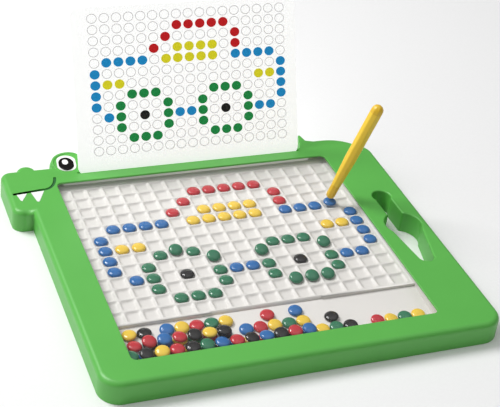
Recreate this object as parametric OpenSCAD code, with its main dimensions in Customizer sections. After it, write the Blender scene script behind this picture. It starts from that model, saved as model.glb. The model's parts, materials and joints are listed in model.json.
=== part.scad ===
/* [Frame] */
// Overall height of the board, table to top face
board_h = 17.5; // [16.5:0.1:20]
// Wall thickness of the moulded green shell
wall = 2.2; // [1.8:0.1:2.6]
// Thickness of the shell's top face and window lip
top_t = 1.4; // [1.2:0.1:1.6]
// Radius of the two front corners
corner_r = 15; // [12:1:18]
// Radius of the large rounded corner at the back
back_r = 35.5; // [30:0.5:38]

/* [Grid] */
// Distance between the middles of two neighbouring wells
pitch = 12.5; // [12.4:0.05:12.5]
// Width of one square well
well_w = 10.9; // [10.8:0.05:11]
// Height of the ridges above the well floors
ridge_h = 1.9; // [1.6:0.1:2]
// Height of the well floors above the table
floor_z = 9.3; // [9:0.1:9.5]

/* [Beads] */
// Diameter of one bead
bead_d = 10.4; // [10.2:0.05:10.4]
// Height of one bead
bead_h = 3.2; // [3:0.05:3.2]

/* [Card] */
// Width of the pattern card
card_w = 184; // [180:1:184]
// Length of the pattern card, foot to top edge
card_l = 129; // [110:1:140]
// Thickness of the pattern card
card_t = 0.9; // [0.6:0.1:1]
// Lean of the card, measured from upright
card_lean = 22.6; // [20:0.1:24]

/* [Pen] */
// Length of the magnetic pen between the middles of its round ends
pen_l = 83; // [75:1:95]
// Radius of the pen's tip
tip_r = 3.8; // [3.6:0.1:4]
// Radius of the pen's barrel
barrel_r = 5.1; // [4.8:0.1:5.4]
// Lean of the pen from upright
pen_lean = 17.3; // [10:0.1:20]
// Direction that the pen leans to
pen_turn = -16.6; // [-20:0.1:0]

/* [Hidden] */
$fn = 48;

green = "#68b85a";
white = "#e9e7e3";
red = "#c8303a";
yellow = "#f0cc50";
blue = "#2f6fb5";
bead_green = "#3c7f60";
black = "#1e1a1a";
steel = "#9a9ca0";

gap = 0.05;         // play between pieces that touch
cut = 0.5;          // how far a cutter runs past a face
clear = 0.25;       // play round the back cover

// plan of the board, about the middle of its window
left_x = -134.75;
right_x = 156.25;
front_y = -125;
strip_y = 117;      // back edge of the strip that holds the card
back_y = 128;       // back edge of the right-hand corner
snout_x = -149.25;
jaw_y = 70.5;
brow_y = 127;
boss_xy = [-92, 129.5];  // the rounded bulge behind the eye
eye_boss_r = 17;
eye_xy = [-96.15, 129.3];
eye_lean = -8;      // the ovals of the eye lean towards the card
inlay_t = 0.8;      // depth of the teeth and the eye in the top face

cols = 18;
rows = 13;
first_row_y = 95.5; // middle of the farthest row
win_x = [-110.1, 112.5];    // left and right edge of the window
win_y = [-104.5, 103.7];    // its front and back edge
win_top = board_h - top_t - gap;
win_t = 1.25;
win_z = win_top - win_t;
seam_y = -63.3;     // where the cell board meets the bead tray
plate_t = 1.3;
liner_t = 1.5;      // side walls of the white mouldings
liner_x = cols * pitch / 2 + 4;
liner_y = 109.5;
liner_top = win_z - gap;
gate_x = 41.5;      // half width of the gate between tray and wells

// the picture laid on the board: one letter a well, the farthest row first
picture = [
    "------------------",
    "--------rrrrr-----",
    "-------r-----r----",
    "------r-yyyy-r----",
    "--bbbb-yyyyy-bbbd-",
    "-b---------------b",
    "-byy-----------yyb",
    "-b--glg----ggg---b",
    "-b-g---l--l---l--b",
    "--bg-k-gbbg-k-gbb-",
    "---g---g--g---g---",
    "----ggg----lll----",
    "------------------"];

// the heap in the tray: first x, place up the slope, layer, colours from the left
heap_step = 10.55;
heap_gap = 0.12;    // from the tray's front wall to the first bead
heap = [
    [-107, 5.3, 0, "kybrgykbrygbkr"],
    [-107, 15.75, 0, "ybkrygkbyrgkbygk-rygy"],
    [-107, 15.2, 1, "gkyrkgbrkbkrb"],
    [-101.5, 26.2, 0, "rkbygrk"],
    [-91.7, 25.7, 1, "rbrkyk"],
    [-22.5, 26.2, 0, "brygy-k"],
    [-102.5, 36.65, 0, "yk"],
    [-76, 36.65, 0, "byrgy"],
    [-3.5, 36.65, 0, "r-b"]];
tray_back_z = 9.2;
tray_front_z = 4.6;
tray_front_y = -liner_y + liner_t;
tray_run = seam_y - tray_front_y;
tray_slope = atan((tray_back_z - tray_front_z) / tray_run);

lean_a = 16.8;      // a bead caught on the ridge behind its well
lean_y = 3.4;
bead_r = bead_d / 2;
foot_r = bead_r - 0.6;
disc_r = 3.8;
disc_t = 1.2;
seat_z = floor_z + gap;

drag_xy = [7.5 * pitch, first_row_y - 4 * pitch];
tip_z = board_h - top_t + tip_r + 0.05;

card_x = 2;
card_front_y = 114.2;   // front face of the card at the top of its slot
slot_depth = 3;
slot_play = 0.25;

screw_xy = [[-124, -114.5], [0, -117], [140, -112], [-126, -20],
    [-134, 98], [-94, 124], [138, 66], [122, 112]];
boss_r = 3.5;
pad_r = 5.5;
cover_t = 2;
pad_t = 4;
rib_t = 1.6;
screw_r = 1.4;
head_r = 2.8;

// ---- plan shapes ----

module round_block(x0, y0, x1, y1, r) {
    translate([x0 + r, y0]) square([x1 - x0 - 2 * r, y1 - y0]);
    translate([x0, y0 + r]) square([x1 - x0, y1 - y0 - 2 * r]);
    for (x = [x0 + r, x1 - r], y = [y0 + r, y1 - r]) translate([x, y]) circle(r);
}

module plain_block(x0, y0, x1, y1) {
    translate([x0, y0]) square([x1 - x0, y1 - y0]);
}

// outline of the crocodile board, drawn in by i all round
module board_plan(i) {
    round_block(left_x + i, front_y + i, right_x - i, strip_y - i, corner_r - i);
    translate([right_x - back_r, back_y - back_r]) circle(back_r - i);
    plain_block(100 + i, 60, right_x - back_r, back_y - i);
    plain_block(100 + i, 60, right_x - i, back_y - back_r);
    round_block(snout_x + i, jaw_y + i, boss_xy.x, brow_y - i, 8 - i);
    translate([-128.6, 125.2]) circle(7.6 - i);
    translate(boss_xy) circle(eye_boss_r - i);
    spike_plan(i);
}

module spike_plan(i) {
    polygon([[95.5 + i, 110], [96.6 + i, 117.5], [100.2 + i, 126], [103 + i * 0.3, 136.5 - i * 2.5],
        [104.6 - i * 0.3, 136.5 - i * 2.5], [107.8 - i, 130], [113, back_y - i], [113, 110]]);
}

// the carrying hole, drawn out by g
module handle_plan(g) {
    translate([135, 38.5]) circle(7.5 + g);
    plain_block(128.6 - g, 0, 141 + g, 38.5);
    translate([135.7, 0.5]) circle(14.5 + g);
    polygon([[123 - g, -4], [148.4 + g, -4], [140.2 + g, -41.5], [127.8 - g, -41.5]]);
    translate([134, -41.5]) circle(6.2 + g);
}

module oval_plan(rx, ry) {
    for (s = [-1, 1]) translate([0, s * (ry - rx)]) circle(rx);
    translate([-rx, rx - ry]) square([2 * rx, 2 * (ry - rx)]);
}

module window_plan() {
    round_block(win_x[0], win_y[0], win_x[1], win_y[1], 4);
}

module tooth_plan(w, l) {
    polygon([[-w / 2, 0], [w / 2, 0], [-w * 0.16, -l + 1.2], [-w * 0.27, -l], [-w * 0.38, -l + 1.2]]);
}

// ---- shell ----

// straight along the jaw, then two bends up towards the eye
module mouth_groove() {
    half = 1.1;
    r1 = 9;             // radius of the tight bend, and where it ends
    a1 = 46;
    r2 = 22;            // the same for the wide bend
    a2 = 71;
    bend_end = [r1 * sin(a1) + r2 * (sin(a2) - sin(a1)), r1 * (1 - cos(a1)) + r2 * (cos(a1) - cos(a2))];
    // middle line of the groove: [x, y, heading]
    line = concat([[-24.8, 0, 0]],
        [for (a = [0 : a1 / 8 : a1]) [r1 * sin(a), r1 * (1 - cos(a)), a]],
        [for (a = [a1 + 5 : 5 : a2])
            [r1 * sin(a1) + r2 * (sin(a) - sin(a1)), r1 * (1 - cos(a1)) + r2 * (cos(a1) - cos(a)), a]],
        [[bend_end.x + 3 * cos(a2), bend_end.y + 3 * sin(a2), a2]]);
    translate([-120.3, 97.2, 0]) rotate([0, 0, 6]) linear_extrude(5) polygon(concat(
        [for (p = line) [p[0] - half * sin(p[2]), p[1] + half * cos(p[2])]],
        [for (i = [len(line) - 1 : -1 : 0]) let (p = line[i])
            [p[0] + half * sin(p[2]), p[1] - half * cos(p[2])]]));
}

module place_front_tooth() {
    translate([-138.6, 93.9, board_h - inlay_t]) rotate([0, 0, 4]) children();
}

module place_rear_tooth() {
    translate([-126.5, 95.1, board_h - inlay_t]) rotate([0, 0, 4]) children();
}

// local frame in the card's plane: x along the foot, z up the card, front face at y = 0
module in_card_frame() {
    translate([card_x, card_front_y, board_h]) rotate([-card_lean, 0, 0]) children();
}

module card_slot() {
    in_card_frame() translate([-card_w / 2 - 1, -slot_play, -slot_depth])
        cube([card_w + 2, card_t + 2 * slot_play, slot_depth + 5]);
}

module top_frame() {
    color(green) difference() {
        union() {
            difference() {
                linear_extrude(board_h) board_plan(0);
                translate([0, 0, -cut]) linear_extrude(board_h - top_t + cut) board_plan(wall);
            }
            linear_extrude(board_h - 0.1) intersection() {
                handle_plan(1.8);
                board_plan(1);
            }
            translate([card_x - card_w / 2 - 5, liner_y + 0.3, floor_z])
                cube([card_w + 9, strip_y - liner_y - 1, board_h - floor_z - 0.1]);
            for (p = screw_xy) translate([p.x, p.y, pad_t + gap])
                cylinder(r = boss_r, h = board_h - pad_t - 0.1);
        }
        translate([0, 0, -cut]) linear_extrude(board_h + 2 * cut) handle_plan(0);
        translate([0, 0, board_h - top_t - cut]) linear_extrude(top_t + 2 * cut) window_plan();
        for (p = screw_xy) translate([p.x, p.y, 0]) cylinder(r = screw_r + gap, h = 13);
        card_slot();
        translate([0, 0, board_h - inlay_t]) mouth_groove();
        place_front_tooth() linear_extrude(3) tooth_plan(8.1, 9);
        place_rear_tooth() linear_extrude(3) tooth_plan(10.3, 13.2);
        in_eye_frame(0, 0, -inlay_t) linear_extrude(3) oval_plan(7.5, 11.1);
    }
}

module back_cover() {
    color(white) difference() {
        union() {
            linear_extrude(cover_t) difference() {
                board_plan(wall + clear);
                handle_plan(1.8 + clear);
            }
            for (p = screw_xy) translate([p.x, p.y, 0]) cylinder(r = pad_r, h = pad_t);
            for (x = [-90 : 45 : 90]) translate([x - rib_t / 2, -55, cover_t - gap])
                cube([rib_t, 155, floor_z - plate_t - cover_t]);
        }
        for (p = screw_xy) translate([p.x, p.y, -cut]) {
            cylinder(r = head_r + 0.3, h = cut + 1.9);
            cylinder(r = screw_r + 0.3, h = pad_t + 2 * cut);
        }
        linear_extrude(pad_t + 1) handle_plan(1.8 + clear);
    }
}

module cover_screws() {
    color(steel) for (p = screw_xy) translate([p.x, p.y, 0.2]) difference() {
        union() {
            cylinder(r = head_r, h = 1.6);
            cylinder(r = screw_r, h = 12);
        }
        for (a = [0, 90]) rotate([0, 0, a]) translate([-1.7, -0.35, -cut]) cube([3.4, 0.7, cut + 0.9]);
    }
}

module clear_window() {
    edge = 0.4;
    color(white, 0.2) translate([0, 0, win_z]) linear_extrude(win_t)
        round_block(edge - liner_x, edge - liner_y, liner_x - edge, liner_y - edge, 5);
}

// ---- white mouldings ----

module cell_board() {
    depth = liner_y - seam_y;
    color(white) difference() {
        union() {
            translate([-liner_x, seam_y, floor_z - plate_t]) cube([2 * liner_x, depth, plate_t]);
            translate([0, 0, floor_z - 0.2]) linear_extrude(ridge_h + 0.2) difference() {
                translate([-liner_x, seam_y]) square([2 * liner_x, depth]);
                for (c = [0 : cols - 1], r = [0 : rows - 1])
                    translate([(c - (cols - 1) / 2) * pitch, first_row_y - r * pitch])
                        square(well_w, center = true);
            }
            translate([0, 0, floor_z]) linear_extrude(liner_top - floor_z) difference() {
                translate([-liner_x, seam_y]) square([2 * liner_x, depth]);
                translate([-liner_x + liner_t, seam_y - cut])
                    square([2 * (liner_x - liner_t), depth + cut - liner_t]);
            }
        }
        translate([-gate_x, seam_y, tray_back_z]) rotate([90, 0, 90])
            linear_extrude(2 * gate_x) polygon([[-1, 0], [0, 0], [2.3, 2.2], [2.3, 4], [-1, 4]]);
    }
}

module bead_tray() {
    wide = 2 * liner_x;
    back = seam_y - gap;
    low = tray_front_z - plate_t;
    color(white) difference() {
        translate([-liner_x, -liner_y, low]) cube([wide, back + liner_y, liner_top - low]);
        translate([-liner_x + liner_t, 0, 0]) rotate([90, 0, 90]) linear_extrude(wide - 2 * liner_t)
            polygon([[tray_front_y, tray_front_z], [back + cut, tray_back_z],
                [back + cut, 30], [tray_front_y, 30]]);
        translate([-liner_x - cut, 0, 0]) rotate([90, 0, 90]) linear_extrude(wide + 2 * cut)
            polygon([[tray_front_y, low - cut], [tray_front_y, low], [back + cut, tray_back_z - plate_t],
                [back + cut, low - cut]]);
    }
}

// ---- face ----

// at a place beside the middle of the eye and above the board's top
module in_eye_frame(x, y, z) {
    translate([eye_xy.x + x, eye_xy.y + y, board_h + z]) rotate([0, 0, eye_lean]) children();
}

module eye_white() {
    color("white") in_eye_frame(0, 0, gap - inlay_t) linear_extrude(1.4) oval_plan(7.4, 11);
}

module eye_pupil() {
    color(black) in_eye_frame(-0.6, -1.7, 0.6 + 2 * gap) linear_extrude(0.8) oval_plan(6.1, 8.9);
}

module eye_glint() {
    color("white") in_eye_frame(-1.2, -0.2, 1.4 + 3 * gap) linear_extrude(0.3) oval_plan(2.4, 3.6);
}

module front_tooth() {
    color("white") place_front_tooth() translate([0, -gap, gap]) linear_extrude(1) tooth_plan(8, 8.9);
}

module rear_tooth() {
    color("white") place_rear_tooth() translate([0, -gap, gap]) linear_extrude(1) tooth_plan(10.2, 13.1);
}

// ---- card and pen ----

module pattern_card() {
    corner = 7;
    color("white") in_card_frame() translate([0, card_t, 0.3 - slot_depth]) rotate([90, 0, 0])
        linear_extrude(card_t) round_block(-card_w / 2, 0, card_w / 2, card_l, corner);
}

// local frame of the pen: the middle of its round tip at the origin, z up the barrel
module in_pen_frame() {
    translate([drag_xy.x, drag_xy.y, tip_z]) rotate([0, 0, pen_turn]) rotate([0, pen_lean, 0]) children();
}

module pen_tip() {
    color("#d9b23a") in_pen_frame() difference() {
        union() {
            sphere(r = tip_r);
            cylinder(r = tip_r, h = 9);
        }
        translate([0, 0, -1.5]) cylinder(r = 2.6, h = 20);
    }
}

module pen_magnet() {
    color(steel) in_pen_frame() translate([0, 0, -1.4]) cylinder(r = 2.5, h = 10);
}

module pen_barrel() {
    color("#e8c23a") in_pen_frame() translate([0, 0, 9 + gap]) rotate_extrude()
        polygon([[0, 0], [tip_r + 0.1, 0], [barrel_r, 26], [barrel_r, pen_l - 14],
            [barrel_r - 1.2, pen_l - 14], [barrel_r - 1.2, 6], [0, 6]]);
}

module pen_end_cap() {
    color("#d9b23a") in_pen_frame() translate([0, 0, pen_l - 5 + 2 * gap]) {
        translate([0, 0, -8]) cylinder(r = barrel_r - 1.3, h = 8);
        rotate_extrude() polygon([[0, 0], [barrel_r, 0], [barrel_r, 2.4], [barrel_r - 0.6, 4.6],
            [barrel_r - 2, 6.2], [barrel_r - 3.6, 7], [0, 7.2]]);
    }
}

// ---- beads ----

module bead_cap() {
    rotate_extrude() polygon([[0, disc_t + 0.4], [disc_r + 0.1, disc_t + 0.4], [disc_r + 0.1, 0],
        [foot_r, 0], [bead_r, 0.8], [bead_r, 1.4], [bead_r - 0.8, 2.4], [bead_r - 2.4, 3], [0, bead_h]]);
}

module bead_disc() {
    translate([0, 0, 0.3]) cylinder(r = disc_r, h = disc_t);
}

// a piece for each well whose letter in the picture is the given one
module on_board(letter) {
    for (r = [0 : rows - 1], c = [0 : cols - 1]) if (picture[r][c] == letter)
        translate([(c - (cols - 1) / 2) * pitch, first_row_y - r * pitch, seat_z]) children();
}

module leaning() {
    on_board("l") translate([0, lean_y, foot_r * sin(lean_a)]) rotate([lean_a, 0, 0]) children();
}

// a piece for each bead of one colour in the heap
module in_heap(letters) {
    translate([0, tray_front_y + heap_gap, tray_front_z]) rotate([tray_slope, 0, 0])
        for (row = heap, i = [0 : len(row[3]) - 1]) if (len(search(row[3][i], letters)) > 0)
            translate([row[0] + i * heap_step, row[1], gap + row[2] * (bead_h + gap)]) children();
}

module lift_to_window() {
    translate([drag_xy.x, drag_xy.y, win_z - bead_h - gap]) children();
}

module dragged_bead() { color(blue) lift_to_window() bead_cap(); }
module dragged_bead_disc() { color(steel) lift_to_window() bead_disc(); }
module red_beads() { color(red) on_board("r") bead_cap(); }
module red_bead_discs() { color(steel) on_board("r") bead_disc(); }
module yellow_beads() { color(yellow) on_board("y") bead_cap(); }
module yellow_bead_discs() { color(steel) on_board("y") bead_disc(); }
module blue_beads() { color(blue) on_board("b") bead_cap(); }
module blue_bead_discs() { color(steel) on_board("b") bead_disc(); }
module green_beads() { color(bead_green) on_board("g") bead_cap(); }
module green_bead_discs() { color(steel) on_board("g") bead_disc(); }
module black_beads() { color(black) on_board("k") bead_cap(); }
module black_bead_discs() { color(steel) on_board("k") bead_disc(); }
module leaning_green_beads() { color(bead_green) leaning() bead_cap(); }
module leaning_bead_discs() { color(steel) leaning() bead_disc(); }
module tray_red_beads() { color(red) in_heap("r") bead_cap(); }
module tray_yellow_beads() { color(yellow) in_heap("y") bead_cap(); }
module tray_blue_beads() { color(blue) in_heap("b") bead_cap(); }
module tray_green_beads() { color(bead_green) in_heap("g") bead_cap(); }
module tray_black_beads() { color(black) in_heap("k") bead_cap(); }
module tray_bead_discs() { color(steel) in_heap("rybgk") bead_disc(); }

top_frame();
back_cover();
cover_screws();
clear_window();
cell_board();
bead_tray();
eye_white();
eye_pupil();
eye_glint();
front_tooth();
rear_tooth();
pattern_card();
pen_barrel();
pen_tip();
pen_magnet();
pen_end_cap();
dragged_bead();
dragged_bead_disc();
red_beads();
red_bead_discs();
yellow_beads();
yellow_bead_discs();
blue_beads();
blue_bead_discs();
green_beads();
green_bead_discs();
black_beads();
black_bead_discs();
leaning_green_beads();
leaning_bead_discs();
tray_red_beads();
tray_yellow_beads();
tray_blue_beads();
tray_green_beads();
tray_black_beads();
tray_bead_discs();
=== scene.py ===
import json
import math

import bmesh
import bpy
import numpy as np
from mathutils import Matrix, Vector


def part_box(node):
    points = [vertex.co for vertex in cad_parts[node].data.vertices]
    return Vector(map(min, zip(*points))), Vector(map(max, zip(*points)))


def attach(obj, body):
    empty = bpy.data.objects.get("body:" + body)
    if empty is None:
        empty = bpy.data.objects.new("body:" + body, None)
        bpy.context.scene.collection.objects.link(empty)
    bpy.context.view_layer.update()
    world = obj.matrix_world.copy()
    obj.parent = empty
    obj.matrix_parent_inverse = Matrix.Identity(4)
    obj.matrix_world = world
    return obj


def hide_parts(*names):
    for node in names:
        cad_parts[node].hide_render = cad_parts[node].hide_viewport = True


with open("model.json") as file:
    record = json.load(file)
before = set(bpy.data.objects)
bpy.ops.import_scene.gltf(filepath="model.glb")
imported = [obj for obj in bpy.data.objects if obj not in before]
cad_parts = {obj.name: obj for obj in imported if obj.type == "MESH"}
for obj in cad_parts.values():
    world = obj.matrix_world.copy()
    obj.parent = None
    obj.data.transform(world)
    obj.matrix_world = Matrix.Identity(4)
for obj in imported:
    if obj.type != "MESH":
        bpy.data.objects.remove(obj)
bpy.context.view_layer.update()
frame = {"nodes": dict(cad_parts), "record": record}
cadNodes = frame["nodes"]
mm = 0.001
weldGap = 0.002 * mm    # points nearer than this are one point
nearEnough = 0.01 * mm  # faces this close to a level lie on it
scene = bpy.context.scene
print("frame loaded:", len(cadNodes), "nodes")


# helpers that every piece uses
def linear(hexText, alpha=1.0):
    parts = [int(hexText[i:i + 2], 16) / 255 for i in (1, 3, 5)]
    bent = [c / 12.92 if c <= 0.04045 else ((c + 0.055) / 1.055) ** 2.4 for c in parts]
    return (*bent, alpha)


def addNode(tree, kind, inputs=None, **settings):
    made = tree.nodes.new(kind)
    for name, value in settings.items():
        setattr(made, name, value)
    for name, value in (inputs or {}).items():
        if isinstance(value, bpy.types.NodeSocket):
            tree.links.new(value, made.inputs[name])
        else:
            made.inputs[name].default_value = value
    return made


def placed(name, mesh, material=None):
    made = bpy.data.objects.new(name, mesh)
    scene.collection.objects.link(made)
    if material is not None:
        mesh.materials.clear()
        mesh.materials.append(material)
    return made


def finished(piece, body, slotName, *replaced):
    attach(piece, body)
    if replaced:
        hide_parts(*replaced)
    return piece


def mergedCopy(nodeName):
    bm = bmesh.new()
    bm.from_mesh(cadNodes[nodeName].data)
    bmesh.ops.remove_doubles(bm, verts=bm.verts, dist=weldGap)
    bmesh.ops.dissolve_limit(bm, angle_limit=math.radians(0.4), verts=bm.verts, edges=bm.edges)
    return bm


def meshOf(bm, name, smoothAngle=35):
    mesh = bpy.data.meshes.new(name)
    bm.to_mesh(mesh)
    bm.free()
    mesh.shade_smooth()
    mesh.set_sharp_from_angle(angle=math.radians(smoothAngle))
    return mesh


def softened(piece, width, segments=2, angle=40):
    bevel = piece.modifiers.new("softEdges", "BEVEL")
    bevel.width = width
    bevel.segments = segments
    bevel.limit_method = "ANGLE"
    bevel.angle_limit = math.radians(angle)
    bevel.harden_normals = True
    return piece


def evenNormals(piece):
    weighted = piece.modifiers.new("evenNormals", "WEIGHTED_NORMAL")
    weighted.keep_sharp = True
    weighted.weight = 80
    return piece


def ringsBetween(bm, lower, upper):
    count = len(lower)
    for i in range(count):
        j = (i + 1) % count
        bm.faces.new((lower[i], lower[j], upper[j], upper[i]))


# one function for each kind of finish
def plastic(name, base, deeper, roughness, grain, bumpHeight, coat=0.0, patch=40.0, subsurface=0.0,
            ior=1.53):
    # deeper is the second tone of a slow mottle that pigment leaves; grain and patch are sizes in mm,
    # with the grain drawn coarser than the real one, which would be too fine to show
    material = bpy.data.materials.new(name)
    material.use_nodes = True
    tree = material.node_tree
    shader = tree.nodes["Principled BSDF"]
    coords = addNode(tree, "ShaderNodeTexCoord").outputs["Object"]
    mottle = addNode(tree, "ShaderNodeTexNoise", {"Vector": coords, "Scale": 1 / (patch * mm), "Detail": 2.0})
    tones = addNode(tree, "ShaderNodeMix", {"Factor": mottle.outputs["Fac"]}, data_type="RGBA")
    tones.inputs[6].default_value = linear(base)
    tones.inputs[7].default_value = linear(deeper)
    tree.links.new(tones.outputs[2], shader.inputs["Base Color"])
    pebble = addNode(tree, "ShaderNodeTexNoise", {"Vector": coords, "Scale": 1 / (grain * mm), "Detail": 3.0})
    spread = addNode(tree, "ShaderNodeMapRange", {"Value": pebble.outputs["Fac"], "To Min": roughness * 0.85,
                                                  "To Max": roughness * 1.15})
    tree.links.new(spread.outputs["Result"], shader.inputs["Roughness"])
    bump = addNode(tree, "ShaderNodeBump", {"Height": pebble.outputs["Fac"], "Strength": 1.0,
                                            "Distance": bumpHeight * mm})
    tree.links.new(bump.outputs["Normal"], shader.inputs["Normal"])
    shader.inputs["IOR"].default_value = ior
    shader.inputs["Coat Weight"].default_value = coat
    shader.inputs["Coat Roughness"].default_value = 0.08
    if subsurface:
        shader.inputs["Subsurface Weight"].default_value = subsurface
        shader.inputs["Subsurface Radius"].default_value = (0.6 * mm, 0.6 * mm, 0.6 * mm)
        shader.inputs["Subsurface Scale"].default_value = 1.0
    return material


def steelFinish(name, base, roughness, grit):
    # rolled or plated steel: bright, with fine lines left by rolling along X
    material = bpy.data.materials.new(name)
    material.use_nodes = True
    tree = material.node_tree
    shader = tree.nodes["Principled BSDF"]
    coords = addNode(tree, "ShaderNodeTexCoord").outputs["Object"]
    along = addNode(tree, "ShaderNodeMapping", {"Vector": coords, "Scale": (0.08, 1.0, 1.0)})
    lines = addNode(tree, "ShaderNodeTexNoise", {"Vector": along.outputs["Vector"], "Scale": 1 / (grit * mm),
                                                 "Detail": 2.0})
    spread = addNode(tree, "ShaderNodeMapRange", {"Value": lines.outputs["Fac"], "To Min": roughness * 0.7,
                                                  "To Max": roughness * 1.3})
    tree.links.new(spread.outputs["Result"], shader.inputs["Roughness"])
    bump = addNode(tree, "ShaderNodeBump", {"Height": lines.outputs["Fac"], "Distance": 0.02 * mm})
    tree.links.new(bump.outputs["Normal"], shader.inputs["Normal"])
    shader.inputs["Base Color"].default_value = linear(base)
    shader.inputs["Metallic"].default_value = 1.0
    return material


def clearSheet(name):
    # cast clear polystyrene sheet: almost invisible, with a faint gloss
    material = bpy.data.materials.new(name)
    material.use_nodes = True
    tree = material.node_tree
    shader = tree.nodes["Principled BSDF"]
    coords = addNode(tree, "ShaderNodeTexCoord").outputs["Object"]
    ripple = addNode(tree, "ShaderNodeTexNoise", {"Vector": coords, "Scale": 1 / (30 * mm), "Detail": 1.0})
    bump = addNode(tree, "ShaderNodeBump", {"Height": ripple.outputs["Fac"], "Distance": 0.05 * mm})
    tree.links.new(bump.outputs["Normal"], shader.inputs["Normal"])
    shader.inputs["Base Color"].default_value = linear("#f4f8f8")
    shader.inputs["Roughness"].default_value = 0.06
    shader.inputs["IOR"].default_value = 1.5
    shader.inputs["Alpha"].default_value = 0.01
    return material


def coatedCard(name, base, fibre, roughness, paintedGlow=0.0):
    # clay-coated board: satin, with fibres just showing through the coat
    material = bpy.data.materials.new(name)
    material.use_nodes = True
    tree = material.node_tree
    shader = tree.nodes["Principled BSDF"]
    coords = addNode(tree, "ShaderNodeTexCoord").outputs["Object"]
    fibres = addNode(tree, "ShaderNodeTexNoise", {"Vector": coords, "Scale": 1 / (fibre * mm), "Detail": 4.0,
                                                  "Distortion": 0.8})
    tones = addNode(tree, "ShaderNodeMix", {"Factor": fibres.outputs["Fac"]}, data_type="RGBA")
    tones.inputs[6].default_value = linear(base)
    tones.inputs[7].default_value = tuple(c * 0.94 for c in linear(base)[:3]) + (1.0,)
    tree.links.new(tones.outputs[2], shader.inputs["Base Color"])
    bump = addNode(tree, "ShaderNodeBump", {"Height": fibres.outputs["Fac"], "Distance": 0.015 * mm})
    tree.links.new(bump.outputs["Normal"], shader.inputs["Normal"])
    shader.inputs["Roughness"].default_value = roughness
    shader.inputs["Emission Color"].default_value = linear(base)
    shader.inputs["Emission Strength"].default_value = paintedGlow     # painted glow: the paper and ink give off light of their own colour, lifting them brighter than the lamps make them
    return material


# satin moulded ABS: even colour, soft gloss along the rounded edges
greenAbs = plastic("greenSatinAbs", "#5fb84f", "#58b049", 0.4, 0.9, 0.012)
# painted shade: the floor of the mouth line gets a darker, flatter green standing in for the shadow in the
# shallow groove
grooveShadeGreen = plastic("darkGreenGrooveInk", "#1d6a2c", "#1a6128", 0.55, 0.5, 0.01)
# high-impact polystyrene: warm white, slightly glossy
whitePolystyrene = plastic("warmWhitePolystyrene", "#e2dfdb", "#dbd8d3", 0.42, 0.7, 0.01)
# spark-eroded mould texture on the underside
texturedWhite = plastic("sparkTexturedWhiteAbs", "#e6e4e0", "#dfddd8", 0.6, 0.35, 0.05)
# polished injection-moulded beads: deep colour with a sharp highlight
beadTones = {"red": ("#c8303a", "#bd2833"), "yellow": ("#f2cd48", "#eac33c"), "blue": ("#2a6db0", "#2565a5"),
             "green": ("#2f7a58", "#2a7050"), "black": ("#1c1919", "#171414")}
beadPlastics = {shade: plastic(shade + "PolishedPolystyrene", *tones, 0.18, 0.6, 0.006, coat=0.15, patch=6)
                for shade, tones in beadTones.items()}
clearPolystyrene = clearSheet("clearPolystyreneSheet")
# enamel-like gloss mouldings of the eye and the teeth
whiteGloss = plastic("whiteGlossMoulding", "#fbfbfa", "#f6f6f4", 0.18, 1.2, 0.004, coat=0.3)
blackGloss = plastic("blackGlossMoulding", "#100d0c", "#0b0908", 0.14, 1.2, 0.004, ior=1.3)
# polypropylene pen: waxy yellow, the tip and cap a little deeper
yellowPen = plastic("yellowPolypropylene", "#fdd640", "#f8ce38", 0.34, 0.8, 0.015, subsurface=0.05)
deepYellowPen = plastic("deepYellowPolypropylene", "#f0c434", "#e8bb2c", 0.34, 0.8, 0.015, subsurface=0.05)
zincSteel = steelFinish("zincPlatedSteel", "#b4b6ba", 0.35, 0.25)
nickelMagnet = steelFinish("nickelPlatedMagnet", "#c2bfb8", 0.25, 0.4)
# the card and its inks carry a painted glow that makes them brighter than the lamps alone would
whiteCard = coatedCard("coatedWhiteCard", "#fcfcfc", 0.6, 0.5, 0.52)
inks = {
    "ring": coatedCard("paleGreyPrintedInk", "#bcb9bb", 0.6, 0.55, 0.25),
    "red": coatedCard("redPrintedInk", "#d40a14", 0.6, 0.5, 0.2),
    "yellow": coatedCard("yellowPrintedInk", "#f2ea1e", 0.6, 0.5, 0.2),
    "blue": coatedCard("bluePrintedInk", "#0e96da", 0.6, 0.5, 0.2),
    "green": coatedCard("greenPrintedInk", "#0e9347", 0.6, 0.5, 0.2),
    "black": coatedCard("blackPrintedInk", "#1a1a18", 0.6, 0.5),
}
print("materials made")


# green shell: crocodile head, rims, handle hole and the lid over the eye
shell = {
    "edgeRadius": 4.0 * mm,     # fillet round the outside
    "slimRadius": 0.6 * mm,     # where the card strip and the back spike are too thin for it
    "windowRadius": 0.5 * mm,
    "handleRadius": 1.3 * mm,
    "pocketRadius": 0.2 * mm,
    "filletSteps": 6,
    "stripBack": 117 * mm,      # back edge of the strip that holds the card
    "spikeLeft": 95 * mm,
    "spikeWide": 12 * mm,
    "slotInset": 5 * mm,
    "mouthDeep": (0.5 * mm, 1.2 * mm),      # depths between which the floor of the mouth line lies
    "jawRight": -100 * mm,
    "jawSpan": (85 * mm, 116 * mm),
    "outsideSpan": 250 * mm,    # only the outside rim is longer than this
    "windowSpan": (200 * mm, 100 * mm),     # of the others, only the window's is wider and deeper
    "handleFrom": 115 * mm,     # only the handle hole lies wholly right of this
}

lid = {
    "centre": Vector((-92, 129.5, 0)) * mm,     # of the rounded bulge behind the eye
    "radius": 14.6 * mm,
    "half": 1.35 * mm,      # half thickness
    "sunk": 0.35 * mm,
    "from": 62,     # degrees
    "to": 205,
    "steps": 36,
    "sides": 10,
}


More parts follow.
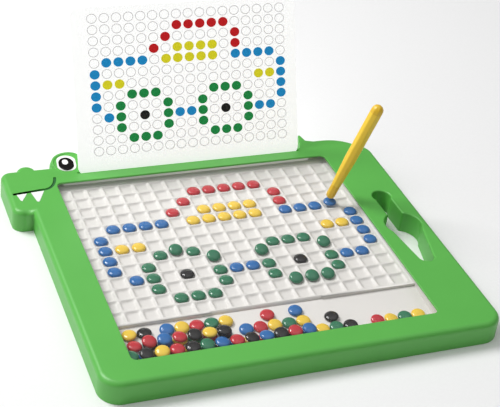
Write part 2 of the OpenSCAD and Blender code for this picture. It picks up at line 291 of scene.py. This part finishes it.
def openTop(bm, topZ):
    # takes away the flat faces at this height and returns the rims they leave, each in order
    topFaces = [f for f in bm.faces
                if f.normal.z > 0.999 and abs(f.calc_center_median().z - topZ) < nearEnough]
    inside = set(topFaces)
    following = {}
    for face in topFaces:
        for loop in face.loops:
            if any(other not in inside for other in loop.edge.link_faces):
                following[loop.vert] = loop.link_loop_next.vert
    bmesh.ops.delete(bm, geom=topFaces, context="FACES")
    rims = []
    while following:
        rim, vert = [], next(iter(following))
        while vert in following:
            rim.append(vert)
            vert = following.pop(vert)
        rims.append(rim)
    return rims


def filletTop(bm, topZ, radiusAt, steps):
    # closes the top again with a rounded edge along every rim
    rims = openTop(bm, topZ)
    lastEdges = []
    for rim in rims:
        radii = radiusAt(rim)
        count = len(rim)
        flat = [v.co.copy() for v in rim]
        inward = []
        for i in range(count):
            before = (flat[i] - flat[i - 1]).normalized()
            after = (flat[(i + 1) % count] - flat[i]).normalized()
            n1, n2 = Vector((-before.y, before.x, 0)), Vector((-after.y, after.x, 0))
            inward.append((n1 + n2) / max(1 + n1.dot(n2), 0.35))
        for v, r in zip(rim, radii):
            v.co.z = topZ - r
        lower = rim
        for k in range(1, steps + 1):
            turn = math.pi / 2 * k / steps
            upper = [bm.verts.new((p.x + d.x * r * (1 - math.cos(turn)), p.y + d.y * r * (1 - math.cos(turn)),
                                   topZ - r + r * math.sin(turn))) for p, d, r in zip(flat, inward, radii)]
            ringsBetween(bm, lower, upper)
            lower = upper
        lastEdges += [bm.edges.get((lower[i], lower[(i + 1) % count])) for i in range(count)]
    bmesh.ops.triangle_fill(bm, edges=lastEdges, use_beauty=True, normal=(0, 0, 1))
    return rims


def browRidge(bm):
    # a rounded lid that runs over the eye, thinning out at both ends
    lower = None
    for k in range(lid["steps"] + 1):
        share = k / lid["steps"]
        turn = math.radians(lid["from"] + (lid["to"] - lid["from"]) * share)
        thick = lid["half"] * max(math.sin(math.pi * share), 0.02) ** 0.5
        outward = Vector((math.cos(turn), math.sin(turn), 0))
        middle = lid["centre"] + outward * lid["radius"]
        middle.z = topZ - lid["sunk"]
        ring = []
        for i in range(lid["sides"]):
            a = 2 * math.pi * i / lid["sides"]
            rise = Vector((0, 0, thick * math.sin(a)))
            ring.append(bm.verts.new(middle + outward * thick * math.cos(a) + rise))
        if lower is None:
            bm.faces.new(list(reversed(ring)))
        else:
            ringsBetween(bm, ring, lower)
        lower = ring
    bm.faces.new(lower)


def outsideRadius(co):
    # the fillet is slim where the card strip and the spike stand free
    spikeLeft, stripBack = shell["spikeLeft"], shell["stripBack"]
    behind = co.y > stripBack - level and slotLeft < co.x < spikeLeft + shell["spikeWide"]
    slim = behind and (co.y < stripBack + level or co.x > spikeLeft)
    return shell["slimRadius"] if slim else shell["edgeRadius"]


def shellRadii(rim):
    # tells the rims apart by their size and place
    xs = [v.co.x for v in rim]
    wide = max(xs) - min(xs)
    deep = max(v.co.y for v in rim) - min(v.co.y for v in rim)
    if max(wide, deep) > shell["outsideSpan"]:
        return [outsideRadius(v.co) for v in rim]
    if max(wide, deep) > shell["windowSpan"][0] and deep > shell["windowSpan"][1]:
        return [shell["windowRadius"]] * len(rim)
    if min(xs) > shell["handleFrom"]:
        return [shell["handleRadius"]] * len(rim)
    return [shell["pocketRadius"]] * len(rim)


cardLow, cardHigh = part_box("pattern_card")
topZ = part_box("top_frame")[1].z
slotLeft = cardLow.x + shell["slotInset"]
level = 0.1 * mm

bm = mergedCopy("top_frame")
rims = filletTop(bm, topZ, shellRadii, shell["filletSteps"])
print("shell rims:", [len(r) for r in rims])
browRidge(bm)
shellMesh = meshOf(bm, "greenShell", 40)
shellMesh.materials.clear()
shellMesh.materials.append(greenAbs)
shellMesh.materials.append(grooveShadeGreen)
# faces on the floor of the mouth line take the painted groove shade
for face in shellMesh.polygons:
    centre = face.center
    inJaw = centre.x < shell["jawRight"] and shell["jawSpan"][0] < centre.y < shell["jawSpan"][1]
    if inJaw and face.normal.z > 0.9 and shell["mouthDeep"][0] < topZ - centre.z < shell["mouthDeep"][1]:
        face.material_index = 1
finished(evenNormals(placed("greenShell", shellMesh)), "board", "green_abs", "top_frame")
print("shell made")


# white board of square wells
wells = {
    "columns": 18,
    "rows": 13,
    "pitch": 12.5 * mm,
    "liner": 1.5 * mm,      # wall round the field
    "border": 6.25 * mm,    # between that wall and the first row
    "floor": 9.3 * mm,
    "ridgeHeight": 1.9 * mm,
    "cornerReach": 1.2 * mm,
    "crest": 1.5 * mm,      # the ridges are worn down by their rounding
    "hair": 0.05 * mm,      # room for rounding when faces are picked out by their height
    # half width, corner and height of each step down into a well, in mm
    "dish": ((5.75, 1.6, 1.42), (5.35, 2.0, 1.0), (4.72, 2.3, 0.35), (4.15, 2.3, 0.05), (2.6, 1.4, -0.25)),
}


def wellTile():
    # one well with half of each ridge round it; its outer points meet those of its neighbours
    bm = bmesh.new()
    half = wells["pitch"] / 2
    reach = wells["cornerReach"]
    outer = []
    corners = [(1, -1), (1, 1), (-1, 1), (-1, -1)]
    for sx, sy in corners:
        beforeFirst = sx * sy < 0
        a = (sx * (half - reach), sy * half) if beforeFirst else (sx * half, sy * (half - reach))
        b = (sx * half, sy * (half - reach)) if beforeFirst else (sx * (half - reach), sy * half)
        middle = (sx * half, 0) if beforeFirst else (0, sy * half)
        outer += [a, (sx * half, sy * half), b, middle]
    rings = [[bm.verts.new((x, y, wells["crest"])) for x, y in outer]]
    for halfWide, radius, height in wells["dish"]:
        h, r, z = halfWide * mm, radius * mm, height * mm
        ring = []
        for sx, sy in corners:
            beforeFirst = sx * sy < 0
            diagonal = h - r + r * math.sqrt(0.5)
            a = (sx * (h - r), sy * h) if beforeFirst else (sx * h, sy * (h - r))
            b = (sx * h, sy * (h - r)) if beforeFirst else (sx * (h - r), sy * h)
            middle = (sx * h, 0) if beforeFirst else (0, sy * h)
            ring += [a, (sx * diagonal, sy * diagonal), b, middle]
        rings.append([bm.verts.new((x, y, z)) for x, y in ring])
    for lower, upper in zip(rings, rings[1:]):
        ringsBetween(bm, lower, upper)
    bm.faces.new(rings[-1])
    bmesh.ops.recalc_face_normals(bm, faces=bm.faces)
    if sum(f.normal.z for f in bm.faces) < 0:
        bmesh.ops.reverse_faces(bm, faces=bm.faces)
    mesh = bpy.data.meshes.new("wellTile")
    bm.to_mesh(mesh)
    bm.free()
    mesh.shade_smooth()
    return mesh


def newTree(name, floats=(), integers=(), objects=()):
    tree = bpy.data.node_groups.new(name, "GeometryNodeTree")
    tree.interface.new_socket("Geometry", in_out="INPUT", socket_type="NodeSocketGeometry")
    for label in integers:
        tree.interface.new_socket(label, in_out="INPUT", socket_type="NodeSocketInt")
    for label in floats:
        tree.interface.new_socket(label, in_out="INPUT", socket_type="NodeSocketFloat")
    for label in objects:
        tree.interface.new_socket(label, in_out="INPUT", socket_type="NodeSocketObject")
    tree.interface.new_socket("Material", in_out="INPUT", socket_type="NodeSocketMaterial")
    tree.interface.new_socket("Geometry", in_out="OUTPUT", socket_type="NodeSocketGeometry")
    return tree


def closeTree(tree, source, geometry):
    # every tree ends in Realize Instances and Set Material
    real = addNode(tree, "GeometryNodeRealizeInstances", {"Geometry": geometry})
    coloured = addNode(tree, "GeometryNodeSetMaterial", {"Geometry": real.outputs["Geometry"],
                                                         "Material": source.outputs["Material"]})
    addNode(tree, "NodeGroupOutput", {"Geometry": coloured.outputs["Geometry"]})


def wellGridTree():
    tree = newTree("wellGrid", floats=("Pitch",), integers=("Columns", "Rows"), objects=("Well",))
    source = addNode(tree, "NodeGroupInput")
    spans = []
    for label in ("Columns", "Rows"):
        steps = addNode(tree, "ShaderNodeMath", {0: source.outputs[label], 1: 1.0}, operation="SUBTRACT")
        spans.append(addNode(tree, "ShaderNodeMath", {0: steps.outputs[0], 1: source.outputs["Pitch"]},
                             operation="MULTIPLY").outputs[0])
    grid = addNode(tree, "GeometryNodeMeshGrid", {"Size X": spans[0], "Size Y": spans[1],
                                                  "Vertices X": source.outputs["Columns"],
                                                  "Vertices Y": source.outputs["Rows"]})
    points = addNode(tree, "GeometryNodeMeshToPoints", {"Mesh": grid.outputs["Mesh"]})
    well = addNode(tree, "GeometryNodeObjectInfo", {"Object": source.outputs["Well"]})
    laid = addNode(tree, "GeometryNodeInstanceOnPoints", {"Points": points.outputs["Points"],
                                                          "Instance": well.outputs["Geometry"]})
    closeTree(tree, source, laid.outputs["Instances"])
    return tree


def scatterTree():
    # a copy of Piece at each point, standing along the point's "upright" vector
    tree = newTree("laidPieces", floats=("Scale",), objects=("Piece",))
    source = addNode(tree, "NodeGroupInput")
    points = addNode(tree, "GeometryNodeMeshToPoints", {"Mesh": source.outputs["Geometry"]})
    upright = addNode(tree, "GeometryNodeInputNamedAttribute", {"Name": "upright"}, data_type="FLOAT_VECTOR")
    turn = addNode(tree, "FunctionNodeAlignEulerToVector", {"Vector": upright.outputs["Attribute"]}, axis="Z")
    piece = addNode(tree, "GeometryNodeObjectInfo", {"Object": source.outputs["Piece"]})
    size = addNode(tree, "ShaderNodeCombineXYZ", {axis: source.outputs["Scale"] for axis in "XYZ"})
    laid = addNode(tree, "GeometryNodeInstanceOnPoints", {"Points": points.outputs["Points"],
                                                          "Instance": piece.outputs["Geometry"],
                                                          "Rotation": turn.outputs["Rotation"],
                                                          "Scale": size.outputs["Vector"]})
    closeTree(tree, source, laid.outputs["Instances"])
    return tree


def grown(name, baseMesh, tree, values, material, smoothAngle=50):
    # runs the tree on the base mesh and keeps the result as a plain mesh
    carrier = placed(name + "Carrier", baseMesh)
    modifier = carrier.modifiers.new("grow", "NODES")
    modifier.node_group = tree
    sockets = {item.name: item.identifier for item in tree.interface.items_tree
               if item.item_type == "SOCKET" and item.in_out == "INPUT"}
    for label, value in {**values, "Material": material}.items():
        modifier[sockets[label]] = value
    carrier.update_tag()
    bpy.context.view_layer.update()
    evaluated = carrier.evaluated_get(bpy.context.evaluated_depsgraph_get())
    mesh = bpy.data.meshes.new_from_object(evaluated)
    carrier.modifiers.remove(modifier)
    bpy.data.objects.remove(carrier)
    mesh.name = name
    for attribute in [a.name for a in mesh.attributes if a.name == "upright"]:
        mesh.attributes.remove(mesh.attributes[attribute])
    mesh.shade_smooth()
    mesh.set_sharp_from_angle(angle=math.radians(smoothAngle))
    return mesh


def pattern(name, mesh):
    # an object that is only instanced, kept out of the scene
    return bpy.data.objects.new(name, mesh)


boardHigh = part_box("cell_board")[1]
floorZ = wells["floor"]
ridgeZ = floorZ + wells["ridgeHeight"]
halfX = wells["columns"] * wells["pitch"] / 2
halfY = wells["rows"] * wells["pitch"] / 2
gridY = boardHigh.y - wells["liner"] - wells["border"] - halfY      # middle of the grid

gridMesh = grown("wellField", bpy.data.meshes.new("empty"), wellGridTree(),
                 {"Columns": wells["columns"], "Rows": wells["rows"], "Pitch": wells["pitch"],
                  "Well": pattern("well", wellTile())}, whitePolystyrene)
gridMesh.transform(Matrix.Translation((0, gridY, floorZ)))

bm = mergedCopy("cell_board")
doomed = []
for face in bm.faces:
    centre = face.calc_center_median()
    wellSide = (floorZ - wells["hair"] < centre.z < ridgeZ - wells["hair"] and abs(centre.x) < halfX
                and abs(centre.y - gridY) < halfY)
    ridgeTop = face.normal.z > 0.999 and abs(centre.z - ridgeZ) < wells["hair"]
    if wellSide or ridgeTop:
        doomed.append(face)
bmesh.ops.delete(bm, geom=doomed, context="FACES")
brim = [e for e in bm.edges if e.is_boundary]
cadVerts = set(bm.verts)
bm.from_mesh(gridMesh)
bmesh.ops.remove_doubles(bm, verts=[v for v in bm.verts if v not in cadVerts], dist=weldGap)
brim += [e for e in bm.edges if e.is_boundary and e not in set(brim)]
bmesh.ops.triangle_fill(bm, edges=brim, use_beauty=True, normal=(0, 0, 1))
whiteWells = placed("whiteWellBoard", meshOf(bm, "whiteWellBoard", 38), whitePolystyrene)
finished(evenNormals(whiteWells), "board", "white_abs", "cell_board")
print("well grid made")

mouldedEdge = 0.25 * mm     # rounding on the edges of the tray and the back
screwEdge = 0.12 * mm

tray = placed("whiteBeadTray", meshOf(mergedCopy("bead_tray"), "whiteBeadTray"), whitePolystyrene)
finished(softened(tray, mouldedEdge), "board", "white_abs", "bead_tray")

window = placed("clearWindow", meshOf(mergedCopy("clear_window"), "clearWindow"), clearPolystyrene)
finished(window, "board", "clear_sheet", "clear_window")

cover = placed("backCover", meshOf(mergedCopy("back_cover"), "backCover"), texturedWhite)
finished(softened(cover, mouldedEdge), "board", "white_abs", "back_cover")

screws = placed("coverScrews", meshOf(mergedCopy("cover_screws"), "coverScrews"), zincSteel)
finished(softened(screws, screwEdge), "board", "steel", "cover_screws")
print("tray, window and back made")


# eye and teeth, let into the shell
eye = {
    "whiteRise": 0.3 * mm,
    "pupilRise": 0.6 * mm,
    "glintRise": 0.2 * mm,
    "steps": 8,
    "flatness": 0.8,    # below 1, the middle of a dome is flatter than a round one
}

teeth = {
    "edgeRadius": 0.3 * mm,
    "filletSteps": 4,
}


def roundOff(bm, centre):
    # pulls a straight-sided oval in to the ellipse with the same length and width
    places = np.array([(v.co.x - centre.x, v.co.y - centre.y) for v in bm.verts])
    axes = np.linalg.eigh(np.cov(places.T))[1]
    turned = places @ axes
    half = np.abs(turned).max(0)
    turned /= np.linalg.norm(turned / half, axis=1)[:, None]
    for v, (x, y) in zip(bm.verts, turned @ axes.T):
        v.co.x, v.co.y = centre.x + x, centre.y + y


def domedCap(nodeName, name, rise, material, slotName, trueOval=False):
    # the node's outline, with its flat top replaced by a low dome of the same height
    bm = mergedCopy(nodeName)
    low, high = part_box(nodeName)
    centre = (low + high) / 2
    if trueOval:
        roundOff(bm, centre)
    rim = openTop(bm, high.z)[0]
    for v in rim:
        v.co.z = high.z - rise
    flat = [v.co.copy() for v in rim]
    lower = rim
    for k in range(1, eye["steps"]):
        turn = math.pi / 2 * k / eye["steps"]
        share = math.cos(turn) ** eye["flatness"]
        upper = [bm.verts.new((centre.x + (p.x - centre.x) * share, centre.y + (p.y - centre.y) * share,
                               high.z - rise + rise * math.sin(turn))) for p in flat]
        ringsBetween(bm, lower, upper)
        lower = upper
    peak = bm.verts.new((centre.x, centre.y, high.z))
    for i in range(len(lower)):
        bm.faces.new((lower[i], lower[(i + 1) % len(lower)], peak))
    piece = placed(name, meshOf(bm, name, 60), material)
    return finished(piece, "board", slotName, nodeName)


domedCap("eye_white", "eyeWhiteOval", eye["whiteRise"], whiteGloss, "eye_white")
domedCap("eye_pupil", "eyePupilOval", eye["pupilRise"], blackGloss, "eye_black", trueOval=True)
domedCap("eye_glint", "eyeGlintOval", eye["glintRise"], whiteGloss, "eye_white", trueOval=True)

for toothNode, toothName in (("front_tooth", "frontTooth"), ("rear_tooth", "rearTooth")):
    bm = mergedCopy(toothNode)
    filletTop(bm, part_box(toothNode)[1].z, lambda rim: [teeth["edgeRadius"]] * len(rim), teeth["filletSteps"])
    tooth = placed(toothName, meshOf(bm, toothName), whiteGloss)
    finished(evenNormals(tooth), "board", "tooth_white", toothNode)
print("face made")


# beads: one shape, laid wherever the frame has a bead
bead = {
    "profile": ((4.0, 0.0), (4.7, 0.35), (5.12, 0.8), (5.2, 1.15), (5.1, 1.65), (4.65, 2.25), (3.85, 2.72),
                (2.6, 3.02), (1.2, 3.17)),     # radius and height of each ring, in mm
    "height": 3.2,
    "sides": 22,
    "scale": 0.995,     # a hair smaller than the beads of the frame
    "looseLean": 8,     # degrees each way, left to right and front to back, for a bead in the tray
}


def beadMesh():
    bm = bmesh.new()
    rings = []
    for radius, height in bead["profile"]:
        turns = [2 * math.pi * i / bead["sides"] for i in range(bead["sides"])]
        rings.append([bm.verts.new((radius * mm * math.cos(a), radius * mm * math.sin(a), height * mm))
                      for a in turns])
    for lower, upper in zip(rings, rings[1:]):
        ringsBetween(bm, lower, upper)
    peak = bm.verts.new((0, 0, bead["height"] * mm))
    last = rings[-1]
    for i in range(len(last)):
        bm.faces.new((last[i], last[(i + 1) % len(last)], peak))
    bm.faces.new(list(reversed(rings[0])))
    bmesh.ops.recalc_face_normals(bm, faces=bm.faces)
    mesh = bpy.data.meshes.new("bead")
    bm.to_mesh(mesh)
    bm.free()
    return mesh


def seatsOf(nodeName):
    # foot and upright direction of every bead in a node, from its separate solids
    bm = mergedCopy(nodeName)
    bm.verts.index_update()
    left = set(bm.verts)
    seats = []
    while left:
        island, edge = set(), [next(iter(left))]
        while edge:
            vert = edge.pop()
            if vert in island:
                continue
            island.add(vert)
            edge += [e.other_vert(vert) for e in vert.link_edges]
        left -= island
        places = np.array([v.co for v in sorted(island, key=lambda v: v.index)])
        middle = (places.max(0) + places.min(0)) / 2
        axes = np.linalg.eigh(np.cov((places - places.mean(0)).T))[1]
        upright = axes[:, 0] * (1 if axes[2, 0] > 0 else -1)
        along = (places - middle) @ upright
        seats.append((Vector(middle + upright * along.min()), Vector(upright)))
    bm.free()
    return sorted(seats, key=lambda s: (round(s[0].y, 5), round(s[0].x, 5)))


def unevenly(seats, seed):
    # turns each loose bead about its own middle by a random lean
    draw = np.random.default_rng(seed)
    tipped = []
    for foot, upright in seats:
        lean = Vector(draw.uniform(-1, 1, 3)) * math.sin(math.radians(bead["looseLean"]))
        turned = (upright + lean).normalized()
        middle = foot + upright * bead["height"] * mm / 2
        tipped.append((middle - turned * bead["height"] * mm / 2, turned))
    return tipped


def pointMesh(name, seats):
    mesh = bpy.data.meshes.new(name)
    mesh.from_pydata([s[0] for s in seats], [], [])
    layer = mesh.attributes.new("upright", "FLOAT_VECTOR", "POINT")
    layer.data.foreach_set("vector", [c for s in seats for c in s[1]])
    return mesh


laidPieces = scatterTree()
beadShape = pattern("beadShape", beadMesh())
bodyOfNode = {n: b for b, names in frame["record"]["behaviour"]["bodies"].items() for n in
              (names if isinstance(names, list) else names.get("nodes", []))}
boardSeats = {}
beadCount = 0
for nodeName in cadNodes:
    if not nodeName.endswith(("_beads", "dragged_bead")):
        continue
    shade = next((c for c in beadPlastics if c in nodeName), "blue")
    seats = seatsOf(nodeName)
    beadCount += len(seats)
    if nodeName.startswith("tray"):
        seats = unevenly(seats, len(nodeName))
    name = "".join(w.capitalize() for w in nodeName.split("_"))
    mesh = grown(name, pointMesh(name + "Seats", seats), laidPieces,
                 {"Piece": beadShape, "Scale": bead["scale"]}, beadPlastics[shade])
    finished(placed(name, mesh), bodyOfNode[nodeName], "bead_" + shade, nodeName)
    if not nodeName.startswith("tray"):
        boardSeats[nodeName] = (shade, seats)
print("beads made:", beadCount)


def coverCad(nodeName, material):
    # a CAD node that stays as it is: only the object's own slots change
    for holder in cadNodes[nodeName].material_slots:
        holder.link = "OBJECT"
        holder.material = material


for nodeName in cadNodes:
    if "disc" in nodeName:
        coverCad(nodeName, zincSteel)


# pattern card and its printed marks
card = {
    "lean": 22.6,       # degrees from upright
    "thick": 0.9 * mm,
    "edgeRound": 0.15 * mm,
    "printShift": 1.8 * mm,     # the print sits this far right of the card's middle
    "columns": 17,
    "rows": 13,
    "rowSlack": 1.5 * mm,       # a leaning bead still counts for the well in front of it
    "columnStep": 9.59 * mm,
    "rowStep": 8.52 * mm,
    "firstRow": 8.9 * mm,       # from the top edge to the middle of the farthest row
    "markWide": 4.0 * mm,       # half width and half height of one printed mark
    "markTall": 3.65 * mm,
    "markSides": 24,
    "lineWidth": 0.42 * mm,
    "inkHeight": 0.03 * mm,
    "inkLift": 0.002 * mm,
}

cardLean = math.radians(card["lean"])
cardUp = Vector((0, math.sin(cardLean), math.cos(cardLean)))
cardOut = Vector((0, -math.cos(cardLean), math.sin(cardLean)))
printMiddle = (cardLow.x + cardHigh.x) / 2 + card["printShift"]
frontTopY = cardHigh.y - card["thick"] * math.cos(cardLean)
topCorner = Vector((printMiddle, frontTopY, cardHigh.z))    # on the front face, at the top edge

patternCard = placed("patternCard", meshOf(mergedCopy("pattern_card"), "patternCard"), whiteCard)
finished(softened(patternCard, card["edgeRound"]), "card", "card_print", "pattern_card")


def printedMark(ringOnly):
    # thin raised oval of ink; only its outline where ringOnly
    bm = bmesh.new()
    turns = [2 * math.pi * i / card["markSides"] for i in range(card["markSides"])]
    wide, tall, rise = card["markWide"], card["markTall"], card["inkHeight"]

    def oval(shrink, height):
        return [bm.verts.new(((wide - shrink) * math.cos(a), (tall - shrink) * math.sin(a), height))
                for a in turns]

    outerLow, outerHigh = oval(0, 0), oval(0, rise)
    ringsBetween(bm, outerLow, outerHigh)
    if ringOnly:
        innerLow, innerHigh = oval(card["lineWidth"], 0), oval(card["lineWidth"], rise)
        ringsBetween(bm, outerHigh, innerHigh)
        ringsBetween(bm, innerHigh, innerLow)
        ringsBetween(bm, innerLow, outerLow)
    else:
        bm.faces.new(outerHigh)
        bm.faces.new(list(reversed(outerLow)))
    bmesh.ops.recalc_face_normals(bm, faces=bm.faces)
    mesh = bpy.data.meshes.new("mark")
    bm.to_mesh(mesh)
    bm.free()
    # stand it in the card's plane: its width along X, its height up the card
    mesh.transform(Matrix((Vector((1, 0, 0)), cardUp, cardOut)).transposed().to_4x4())
    return mesh


def markPlace(column, row):
    x = (column - (card["columns"] - 1) / 2) * card["columnStep"]
    down = card["firstRow"] + row * card["rowStep"]
    return topCorner + Vector((x, 0, 0)) - cardUp * down + cardOut * card["inkLift"]


printed = {shade: [] for shade in inks}
taken = set()
for shade, seats in boardSeats.values():
    for foot, upright in seats:
        column = round((foot.x + (wells["columns"] - 1) / 2 * wells["pitch"]) / wells["pitch"]) - 1
        row = round((gridY + halfY - wells["pitch"] / 2 - foot.y + card["rowSlack"]) / wells["pitch"])
        printed[shade].append(markPlace(column, row))
        taken.add((column, row))
for column in range(card["columns"]):
    for row in range(card["rows"]):
        if (column, row) not in taken:
            printed["ring"].append(markPlace(column, row))

dotShape = pattern("dotShape", printedMark(False))
ringShape = pattern("ringShape", printedMark(True))
for shade, places in printed.items():
    seats = [(p, Vector((0, 0, 1))) for p in places]
    name = "printed" + shade.capitalize() + ("Circles" if shade == "ring" else "Dots")
    mesh = grown(name, pointMesh(name + "Seats", seats), laidPieces,
                 {"Piece": ringShape if shade == "ring" else dotShape, "Scale": 1.0}, inks[shade])
    finished(placed(name, mesh), "card", "card_print")
print("card printed:", {shade: len(places) for shade, places in printed.items()})


# pen with eight rounded flats
pen = {
    "lean": 17.3,       # degrees from upright
    "turn": -16.6,
    "flats": 8,
    "cornerShare": 0.3,     # how much of each side its rounded corners take
    "crown": 0.988,         # how far the middle of a corner is pulled in
    "footHeight": 3.8 * mm,     # from the end of the tip to the middle of its round
    "barrelFrom": 9.1,      # mm along the pen
    "capFrom": 78.1,
    # mm along the piece and half width at each step
    "barrel": ((0.0, 3.75), (1.2, 3.95), (26, 5.05), (69, 5.05), (69.6, 4.95)),
    "cap": ((0.0, 4.95), (0.5, 5.05), (2.4, 5.0), (4.6, 4.4), (6.2, 3.0), (7.0, 1.5)),
    "tip": ((9.0, 3.7), (7.6, 3.78), (0.0, 3.78), (-1.9, 3.28), (-3.1, 2.2), (-3.66, 1.0)),
}


def penSection(bm, radius, z, corner):
    # an eight-sided section with rounded corners
    ring = []
    for i in range(pen["flats"]):
        a = 2 * math.pi * i / pen["flats"]
        for side in (-1, 0, 1):
            turn = a + side * corner * math.pi / pen["flats"]
            pull = radius if side == 0 else radius * math.cos(math.pi / pen["flats"]) / math.cos(
                math.pi / pen["flats"] * (1 - corner))
            pull = min(pull, radius) * (pen["crown"] if side == 0 else 1.0)
            ring.append(bm.verts.new((pull * math.cos(turn) * mm, pull * math.sin(turn) * mm, z * mm)))
    return ring


def penPiece(name, sections, material, slotName, body, along, *replaced):
    bm = bmesh.new()
    rings = [penSection(bm, radius, along + z, pen["cornerShare"]) for z, radius in sections]
    for lower, upper in zip(rings, rings[1:]):
        ringsBetween(bm, lower, upper)
    bm.faces.new(list(reversed(rings[0])))
    bm.faces.new(rings[-1])
    bmesh.ops.recalc_face_normals(bm, faces=bm.faces)
    mesh = meshOf(bm, name, 50)
    mesh.transform(penMatrix)
    return finished(placed(name, mesh, material), body, slotName, *replaced)


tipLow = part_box("pen_tip")[0]
dragLow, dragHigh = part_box("dragged_bead")
penFoot = Vector(((dragLow.x + dragHigh.x) / 2, (dragLow.y + dragHigh.y) / 2, tipLow.z + pen["footHeight"]))
penMatrix = (Matrix.Translation(penFoot) @ Matrix.Rotation(math.radians(pen["turn"]), 4, "Z")
             @ Matrix.Rotation(math.radians(pen["lean"]), 4, "Y"))
penPiece("penBarrel", pen["barrel"], yellowPen, "pen_yellow", "pen", pen["barrelFrom"], "pen_barrel")
penPiece("penEndCap", pen["cap"], deepYellowPen, "pen_yellow", "pen", pen["capFrom"], "pen_end_cap")
penPiece("penTip", pen["tip"], deepYellowPen, "pen_yellow", "pen", 0, "pen_tip")
coverCad("pen_magnet", nickelMagnet)
print("pen made")


# floor, light and camera
studio = {
    "floor": "#f6f6f6",
    "floorReach": 6.0,
    "floorZ": -0.05 * mm,
    "skyHorizon": 0.12,     # dark walls round the table, bright ceiling
    "skyZenith": 0.95,
    "skyRise": 3.0,
    "keyPower": 28.0,
    "keySize": 0.9,
    "keyFrom": Vector((-0.9, 0.75, 1.5)),
    "fillPower": 3.0,
    "fillSize": 1.2,
    "fillFrom": Vector((-1.6, -0.2, 0.8)),
    "aim": Vector((0.01, 0.01, 0.01)),
}

floorMesh = bpy.data.meshes.new("floor")
reach, below = studio["floorReach"], studio["floorZ"]
floorMesh.from_pydata([(-reach, -reach, below), (reach, -reach, below), (reach, reach, below),
                       (-reach, reach, below)], [], [(0, 1, 2, 3)])
floor = placed("floor", floorMesh, coatedCard("paleSeamlessPaper", studio["floor"], 2.0, 0.9))


def areaLight(name, start, power, size):
    data = bpy.data.lights.new(name, "AREA")
    data.shape = "DISK"
    data.size = size
    data.energy = power
    lamp = bpy.data.objects.new(name, data)
    scene.collection.objects.link(lamp)
    lamp.location = start
    lamp.rotation_euler = (studio["aim"] - start).to_track_quat("-Z", "Y").to_euler()
    return lamp


areaLight("keyLight", studio["keyFrom"], studio["keyPower"], studio["keySize"])
areaLight("fillLight", studio["fillFrom"], studio["fillPower"], studio["fillSize"])
world = bpy.data.worlds.new("studioWorld")
world.use_nodes = True
skyTree = world.node_tree
towards = addNode(skyTree, "ShaderNodeTexCoord").outputs["Object"]
parts = addNode(skyTree, "ShaderNodeSeparateXYZ", {"Vector": towards})
above = addNode(skyTree, "ShaderNodeMath", {0: parts.outputs["Z"], 1: 0.0}, operation="MAXIMUM")
curve = addNode(skyTree, "ShaderNodeMath", {0: above.outputs[0], 1: studio["skyRise"]}, operation="POWER")
glow = addNode(skyTree, "ShaderNodeMath", {0: curve.outputs[0], 1: studio["skyZenith"] - studio["skyHorizon"],
                                           2: studio["skyHorizon"]}, operation="MULTIPLY_ADD")
skyTree.nodes["Background"].inputs["Color"].default_value = (1, 1, 1, 1)
skyTree.links.new(glow.outputs[0], skyTree.nodes["Background"].inputs["Strength"])
scene.world = world
scene.view_settings.view_transform = "Standard"
scene.view_settings.look = "None"

shot = {
    "lens": 93.48,
    "turn": -24.565,
    "height": 33.745,
    "roll": 7.548,
    "distance": 1.0032,
    "aim": Vector((30.95, 56.3, 12.0)) * mm,
}

cameraData = bpy.data.cameras.new("camera")
cameraData.lens = shot["lens"]
cameraData.sensor_width = 36
cameraData.clip_start = 0.01
cameraData.clip_end = 30
camera = bpy.data.objects.new("camera", cameraData)
scene.collection.objects.link(camera)
turn, height, roll = (math.radians(shot[key]) for key in ("turn", "height", "roll"))
back = Vector((math.sin(turn) * math.cos(height), -math.cos(turn) * math.cos(height), math.sin(height)))
right = Vector((math.cos(turn), math.sin(turn), 0))
up = back.cross(right)
tiltedRight = right * math.cos(roll) + up * math.sin(roll)
tiltedUp = up * math.cos(roll) - right * math.sin(roll)
facing = Matrix((tiltedRight, tiltedUp, back)).transposed().to_4x4()
camera.matrix_world = Matrix.Translation(shot["aim"] + back * shot["distance"]) @ facing
scene.camera = camera
print("studio ready")
